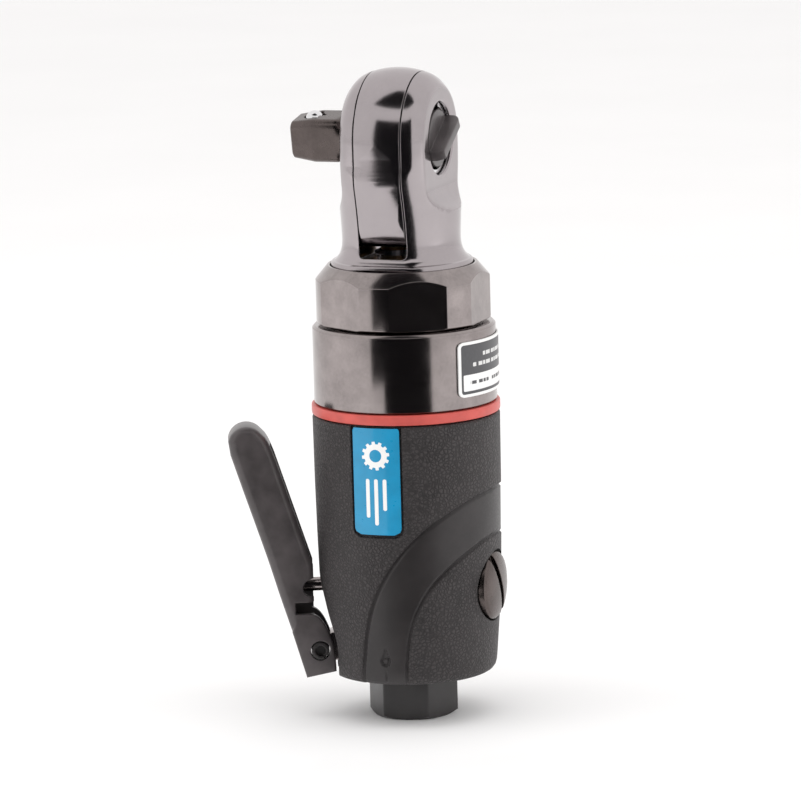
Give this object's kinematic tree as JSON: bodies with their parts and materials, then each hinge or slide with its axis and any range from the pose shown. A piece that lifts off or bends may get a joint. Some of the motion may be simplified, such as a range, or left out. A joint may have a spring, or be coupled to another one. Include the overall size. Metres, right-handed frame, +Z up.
{
  "type": "air ratchet",
  "caption": "Stubby pneumatic ratchet wrench with a square drive head, reversing lever, clamp nut, stippled grip, air regulator, throttle lever and hexagonal air inlet.",
  "frame": {"origin": "below the middle of the tool's box, on the plane of the air inlet's lower face; the barrel's axis stands at x = 8.48 mm", "axes": "+Z up the barrel, -X towards the square drive, with the throttle lever 22 degrees from it towards -Y, +X towards the reversing lever and the regulator dial"},
  "size_m": [0.0583, 0.0406, 0.1406],
  "materials": {
    "polished_nickel": "polished dark nickel plating",
    "dark_steel": "satin dark plated steel with fine turning marks",
    "black_oxide": "semi-gloss black oxide",
    "bright_steel": "bright polished steel",
    "ground_steel": "ground steel",
    "bronze": "sintered bronze",
    "cast_aluminium": "machined aluminium",
    "grip_rubber": "matt stippled black rubber",
    "red_plastic": "satin red plastic",
    "blue_label": "glossy blue label",
    "plate_print": "printed aluminium plate, white border on a dark field",
    "seal_rubber": "black nitrile rubber",
    "vane_composite": "brown phenolic fabric laminate",
    "gasket": "pressed fibre gasket"
  },
  "bodies": {
    "tool_body": {"ratchet_housing": "polished_nickel", "anvil_washer": "bronze", "anvil_retaining_ring": "bright_steel", "crank_bearing": "bright_steel", "ring_gear": "ground_steel", "cylinder_liner": "ground_steel", "front_end_plate": "cast_aluminium", "front_bearing": "bright_steel", "rear_end_plate": "cast_aluminium", "rear_bearing": "bright_steel", "rear_gasket": "gasket", "clamp_nut": "dark_steel", "motor_housing": "dark_steel", "grip": "grip_rubber", "badge": "blue_label", "colour_ring": "red_plastic", "name_plate": "plate_print", "lever_pin": "bright_steel", "valve_seat": "seal_rubber", "stem_seal": "seal_rubber", "valve_spring": "bright_steel", "inlet_bushing": "black_oxide", "inlet_gasket": "seal_rubber", "inlet_screen": "bright_steel"},
    "yoke": {"ratchet_yoke": "polished_nickel"},
    "anvil": {"anvil": "dark_steel", "pawl_pin": "bright_steel", "ball_spring": "bright_steel"},
    "pawl": {"pawl": "ground_steel"},
    "reverse_lever": {"reverse_lever": "black_oxide", "detent_spring": "bright_steel"},
    "detent_plunger": {"detent_plunger": "bright_steel"},
    "socket_ball": {"socket_ball": "bright_steel"},
    "crankshaft": {"crankshaft": "ground_steel", "planet_pin_1": "bright_steel", "planet_pin_2": "bright_steel", "planet_pin_3": "bright_steel"},
    "drive_bushing": {"drive_bushing": "bronze"},
    "planet_1": {"planet_gear_1": "ground_steel"},
    "planet_2": {"planet_gear_2": "ground_steel"},
    "planet_3": {"planet_gear_3": "ground_steel"},
    "rotor": {"rotor": "ground_steel", "rotor_vane_1": "vane_composite", "rotor_vane_2": "vane_composite", "rotor_vane_3": "vane_composite", "rotor_vane_4": "vane_composite"},
    "throttle_lever": {"throttle_lever": "black_oxide"},
    "throttle_pin": {"throttle_pin": "bright_steel"},
    "regulator": {"regulator": "dark_steel", "regulator_seal": "seal_rubber"}
  },
  "joints": [
    {"name": "anvil_spin", "type": "hinge", "parent": "tool_body", "child": "anvil", "pos_m": [0.00848, 0, 0.1256], "axis": [-1, 0, 0], "continuous": true},
    {"name": "yoke_swing", "type": "hinge", "parent": "tool_body", "child": "yoke", "pos_m": [0.00848, 0, 0.1256], "axis": [1, 0, 0], "range_deg": [-4, 4]},
    {"name": "reverse_turn", "type": "hinge", "parent": "anvil", "child": "reverse_lever", "pos_m": [0.00848, 0, 0.1256], "axis": [1, 0, 0], "range_deg": [-45, 0]},
    {"name": "pawl_rock", "type": "hinge", "parent": "anvil", "child": "pawl", "pos_m": [0.00848, 0, 0.1202], "axis": [1, 0, 0], "range_deg": [0, 8]},
    {"name": "detent_slide", "type": "slide", "parent": "reverse_lever", "child": "detent_plunger", "axis": [0, -0.2164, 0.9763], "range_m": [0, 0.0003], "stiffness_N_per_m": 500, "springref_m": -0.0003},
    {"name": "ball_press", "type": "slide", "parent": "anvil", "child": "socket_ball", "axis": [0, 0.1736, -0.9848], "range_m": [0, 0.0007], "stiffness_N_per_m": 2000, "springref_m": -0.0005},
    {"name": "rotor_spin", "type": "hinge", "parent": "tool_body", "child": "rotor", "pos_m": [0.00848, 0, 0.056], "axis": [0, 0, 1], "continuous": true},
    {"name": "crank_spin", "type": "hinge", "parent": "tool_body", "child": "crankshaft", "pos_m": [0.00848, 0, 0.09], "axis": [0, 0, 1], "continuous": true},
    {"name": "bushing_turn", "type": "hinge", "parent": "crankshaft", "child": "drive_bushing", "pos_m": [0.00698, 0, 0.1042], "axis": [0, 0, 1], "continuous": true},
    {"name": "planet_1_spin", "type": "hinge", "parent": "crankshaft", "child": "planet_1", "pos_m": [0.00848, 0.0078, 0.0794], "axis": [0, 0, 1], "continuous": true},
    {"name": "planet_2_spin", "type": "hinge", "parent": "crankshaft", "child": "planet_2", "pos_m": [0.00173, -0.0039, 0.0794], "axis": [0, 0, 1], "continuous": true},
    {"name": "planet_3_spin", "type": "hinge", "parent": "crankshaft", "child": "planet_3", "pos_m": [0.01523, -0.0039, 0.0794], "axis": [0, 0, 1], "continuous": true},
    {"name": "throttle_press", "type": "hinge", "parent": "tool_body", "child": "throttle_lever", "pos_m": [-0.01006, -0.00749, 0.0152], "axis": [-0.3746, 0.9272, 0], "range_deg": [0, 5], "stiffness_Nm_per_rad": 0.6, "springref_deg": -20.05},
    {"name": "throttle_pin_slide", "type": "slide", "parent": "tool_body", "child": "throttle_pin", "axis": [0.9272, 0.3746, 0], "range_m": [0, 0.0015]},
    {"name": "regulator_turn", "type": "hinge", "parent": "tool_body", "child": "regulator", "pos_m": [0.02048, 0, 0.029], "axis": [1, 0, 0], "range_deg": [-90, 90]}
  ],
  "couplings": [
    {"joint": "pawl_rock", "follows": "reverse_turn", "ratio": -0.17778},
    {"joint": "crank_spin", "follows": "rotor_spin", "ratio": 0.25},
    {"joint": "bushing_turn", "follows": "rotor_spin", "ratio": -0.25},
    {"joint": "planet_1_spin", "follows": "rotor_spin", "ratio": -0.75},
    {"joint": "planet_2_spin", "follows": "rotor_spin", "ratio": -0.75},
    {"joint": "planet_3_spin", "follows": "rotor_spin", "ratio": -0.75},
    {"joint": "throttle_pin_slide", "follows": "throttle_press", "m_per_rad": 0.0138}
  ]
}
